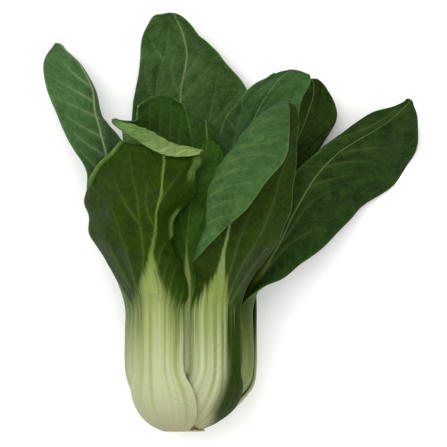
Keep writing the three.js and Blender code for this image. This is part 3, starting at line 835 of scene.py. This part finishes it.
# Hooded leaf
# An inner leaf behind the front left one. Its blade closes to a hood whose front margin curls
# out over the front left leaf as a light green lip.
INNER_STALK = 4.5
hooded_leaf = grow_leaf(
    "hooded_leaf", around=228, spread=45, stalk=INNER_STALK, seed=7, columns=150, rib_start=0.6,
    rib_line=[(-12, 50), (-13, 75), (-14, 97), (-14, 108), (-14, 122)],
    rows=[
        [
            [-21.5, 35, 38], [-23, 35.5, 33], [-23.5, 36, 29], [-22.5, 36, 25],
            [-20, 36, 22], [-15.5, 36, 19.5], [-9, 36, 18], [-1.5, 35, 18],
        ],
        [
            [-19.5, 53.5, 47], [-24, 54, 43], [-27, 54.5, 38], [-27.5, 55, 33],
            [-25, 55.5, 28], [-19.5, 55.5, 24], [-11, 55.5, 22], [-0.5, 54, 22],
        ],
        [
            [-12, 70, 55], [-20.5, 70, 54], [-27, 70.5, 49], [-30.5, 71, 42],
            [-29.5, 72, 35], [-23, 73, 29], [-12.5, 73.5, 26], [1.5, 71, 26],
        ],
        [
            [-2.5, 81.5, 55], [-13.5, 83, 58], [-24, 86.5, 56], [-32, 91, 50],
            [-32, 94, 41], [-25, 96, 33], [-13.5, 97, 29], [1.5, 91, 29],
        ],
        [
            [5.5, 95, 51], [-9, 99, 56], [-23, 105.5, 56], [-33, 106, 52],
            [-27.5, 104, 42], [-25.5, 107, 38], [-13.5, 110, 34], [-0.5, 106, 34],
        ],
        [
            [4, 93.5, 60], [-12, 93, 65], [-25.5, 100, 63], [-37.5, 108.5, 56],
            [-25.5, 109, 48], [-24.5, 116.5, 44], [-13.5, 121, 41], [-3.5, 116.5, 41],
        ],
    ],
    veins=[
        [(-14, 80), (-14.7, 104.3), (-14.4, 119.4)],
        [(-16, 80), (-19.4, 104), (-19.4, 118)],
        [(-12, 80), (-10, 102.9), (-10, 119)],
        [(-10, 80), (-5.5, 102), (-5.2, 116)],
        [(-18, 85), (-23, 104), (-23.5, 114)],
    ],
    rolls=[(0, 10.4, 13, 0.47)],
)
hooded_leaf.data.materials.append(leaf_finish(
    "hooded_leaf_skin",
    outer=((44, 76, 24), (70, 102, 42)),
    inner=((36, 64, 18), (56, 88, 34)),
    vein=(118, 146, 74),
    vein_share=0.3,
    rolled=(88, 122, 60),
    rolled_pale=(156, 176, 108),
    seed=7.0,
))

# Tall inner leaf
# The inner leaf behind the fold of the front right one, with its inner side up and its top
# bent over to the right.
tall_inner_leaf = grow_leaf(
    "tall_inner_leaf", around=300, spread=42, stalk=INNER_STALK, seed=8, columns=80, pale_up=0.5,
    rows=[
        [[2.5, 32, 21], [12, 33, 20], [23, 32, 27]],
        [[4.5, 49, 25], [15, 50, 23], [28, 48.5, 28]],
        [[6, 65.5, 28], [17.5, 67.5, 26], [33.5, 65, 29]],
        [[8, 82, 32], [22, 84, 29], [40, 80.5, 30]],
        [[11, 96, 36], [26, 99, 32], [46, 95, 32]],
        [[16, 108, 40], [31, 112, 36], [50, 107, 34]],
        [[22, 118, 42], [36, 121, 39], [52.5, 119, 36]],
        [[29, 125, 43], [42, 128.5, 41], [56.5, 126, 38]],
        [[38.5, 130.5, 43], [48, 133, 42], [56, 130.5, 39]],
    ],
    veins=[
        [(15, 80), (20.4, 99.5), (22.3, 108.1), (26.1, 116.6), (31, 122.5), (43, 129.5)],
        [(28, 102), (33.7, 113.8), (39.3, 121.3), (46, 127)],
        [(21.5, 104), (17.8, 110), (18.5, 114)],
        [(25, 114), (24, 119), (27, 122.5)],
        [(40, 104), (45, 114), (51, 122)],
    ],
)
tall_inner_leaf.data.materials.append(leaf_finish(
    "tall_inner_leaf_skin",
    outer=((50, 84, 46), (72, 106, 62)),
    inner=((42, 72, 32), (66, 98, 54)),
    vein=(110, 136, 86),
    vein_share=0.36,
    seed=8.0,
))

# Front inner leaf
# The dark inner leaf between the two front ones. Its narrow pale stalk grows from the stem
# inside theirs and shows between them.
front_inner_leaf = grow_leaf(
    "front_inner_leaf", around=98, spread=42, stalk=INNER_STALK, seed=9, columns=70, pale_up=0.4,
    rows=[
        [[12, 32, 52], [-2, 33, 54], [-13.5, 32, 48]],
        [[10, 49.5, 53], [-2, 50.5, 54], [-15.5, 49, 46]],
        [[12, 65.5, 53], [0, 67.5, 53], [-14, 65.5, 46]],
        [[14.5, 79.5, 53], [3.5, 82.5, 52], [-10, 79.5, 45]],
        [[15.5, 91, 50], [7, 93.5, 47], [-3.5, 90, 43]],
        [[13.5, 96.5, 46], [8, 99.5, 43], [2.5, 96.5, 41]],
    ],
)
front_inner_leaf.data.materials.append(leaf_finish(
    "front_inner_leaf_skin",
    outer=((32, 62, 8), (50, 84, 20)),
    inner=((30, 58, 14), (46, 78, 28)),
    vein=(66, 94, 30),
    vein_share=0.3,
    seed=9.0,
))

# Heart leaves
# Two small young leaves with thin soft stalks, grown last from the middle of the stem. Their
# tips show between the hood and the fold.
HEART_STALK = 3
right_heart_leaf = grow_leaf(
    "right_heart_leaf", around=30, spread=42, stalk=HEART_STALK, reach=15, seed=10, columns=50, frill=2.0,
    rows=[
        [[12, 33, 30], [12, 33, 38], [5, 33, 43]],
        [[10, 52, 33], [9, 52, 38], [2, 52, 43]],
        [[11, 72, 37], [8, 73, 41], [1, 72, 43]],
        [[13, 90, 40], [8, 93, 39], [1, 91, 39]],
        [[12, 104, 41], [7, 109, 40], [1, 105, 39]],
    ],
)
left_heart_leaf = grow_leaf(
    "left_heart_leaf", around=180, spread=50, stalk=HEART_STALK, reach=14, seed=11, columns=50, frill=1.5,
    rows=[
        [[-8, 33, 40], [-12, 33, 33], [-8, 33, 26]],
        [[-9, 52, 41], [-12, 52, 36], [-7, 52, 30]],
        [[-9, 72, 40], [-13, 73, 36], [-7, 72, 31]],
        [[-8, 84, 38], [-10, 85, 36], [-6, 84, 34]],
        [[-8, 91, 38], [-8.5, 92, 37], [-7, 91, 36]],
    ],
)
heart_skin = leaf_finish(
    "heart_leaf_skin",
    outer=((28, 52, 12), (46, 74, 26)),
    inner=((24, 46, 10), (42, 68, 24)),
    vein=(80, 106, 52),
    vein_share=0.4,
    seed=10.0,
)
right_heart_leaf.data.materials.append(heart_skin)
left_heart_leaf.data.materials.append(heart_skin)

# Core stem
# The short pale stem that all the stalks grow from. Its base was cut off with a knife, so the cut
# face is a little rough, reaches out to the feet of the stalks and has dried to a brownish cream.
cut_plane = -39
roughness_of_cut = 0.14
size_of_roughness = 1.6
core_sides = 72
core_rings = 66
least_radius = 0.2
widest_turn = 0.2
widening = 0.24
widened_reach = 0.75
core_profile = [
    (0.2, -38.7), (3, -38.8), (6, -38.85), (8.3, -38.9), (9.1, -38.6), (8.8, -38.0),
    (7.3, -37.2), (7, -35), (6, -29), (4.6, -21), (3, -16), (0.3, -14),
]
core_turn = np.linspace(0, 2 * math.pi, core_sides, endpoint=False)
core_outline = curve_through(core_profile, np.linspace(0, len(core_profile) - 1, core_rings))
core_radius = np.maximum(core_outline[:, :1], least_radius) * np.ones((1, core_sides))
core_y = core_outline[:, 1:] * np.ones((1, core_sides))
from_widest_turn = (core_turn - widest_turn + math.pi) % (2 * math.pi) - math.pi
rim_share = soft_step(-35, -37.5, core_y) * np.exp(-(from_widest_turn / widened_reach) ** 2)
core_radius = core_radius * (1 + widening * rim_share)
core_across = core_radius * np.cos(core_turn)
core_height = core_radius * np.sin(core_turn)
core_points = np.stack([core_across, core_y, core_height], axis=2)
uneven_cut = swellings(core_points, size_of_roughness, 21)
core_points[..., 1] = np.maximum(core_y + roughness_of_cut * uneven_cut, cut_plane)
core_points[..., 0] += lean_at(core_points[..., 1])
core_points[..., 2] += AXIS_HEIGHT
core_index = np.arange(core_rings * core_sides).reshape(core_rings, core_sides)
core_next = np.roll(core_index, -1, axis=1)
core_faces = np.stack([core_index[:-1], core_index[1:], core_next[1:], core_next[:-1]], axis=-1)
end_faces = [core_index[0].tolist(), core_index[-1, ::-1].tolist()]
core_mesh = bpy.data.meshes.new("stem_with_cut_face")
core_mesh.from_pydata(
    (core_points.reshape(-1, 3) * METRES).tolist(), [], core_faces.reshape(-1, 4).tolist() + end_faces
)
core_mesh.polygons.foreach_set("use_smooth", [True] * len(core_mesh.polygons))
cut_stem = bpy.data.objects.new("stem_with_cut_face", core_mesh)
bpy.context.scene.collection.objects.link(cut_stem)
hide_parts("core_stem")
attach(cut_stem, "root")

dry_cream = paint(190, 182, 142)
dry_brown = paint(150, 134, 92)
dark_grain = paint(118, 100, 64)
cut_skin = bpy.data.materials.new("dried_cut_face")
cut_skin.use_nodes = True
cut_tree = cut_skin.node_tree
cut_shader = cut_tree.nodes["Principled BSDF"]
stem_place = add_node(cut_tree, "ShaderNodeTexCoord", {}).outputs["Object"]
grain = cloudy(cut_tree, stem_place, 420.0, 4.0)
blotch = cloudy(cut_tree, stem_place, 110.0, 3.0)
brown_share = fade(cut_tree, blotch, 0.35, 0.65)
grain_share = fade(cut_tree, grain, 0.5, 0.75, 0.0, 0.6)
cut_colour = blend_colours(cut_tree, brown_share, dry_cream, dry_brown)
cut_colour = blend_colours(cut_tree, grain_share, cut_colour, dark_grain)
cut_tree.links.new(cut_colour, cut_shader.inputs["Base Color"])
cut_tree.links.new(fade(cut_tree, grain, 0.3, 0.7, 0.55, 0.8), cut_shader.inputs["Roughness"])
cut_bump = add_node(cut_tree, "ShaderNodeBump", {"Height": grain, "Strength": 0.5, "Distance": 0.0005})
cut_tree.links.new(cut_bump.outputs[0], cut_shader.inputs["Normal"])
core_mesh.materials.append(cut_skin)
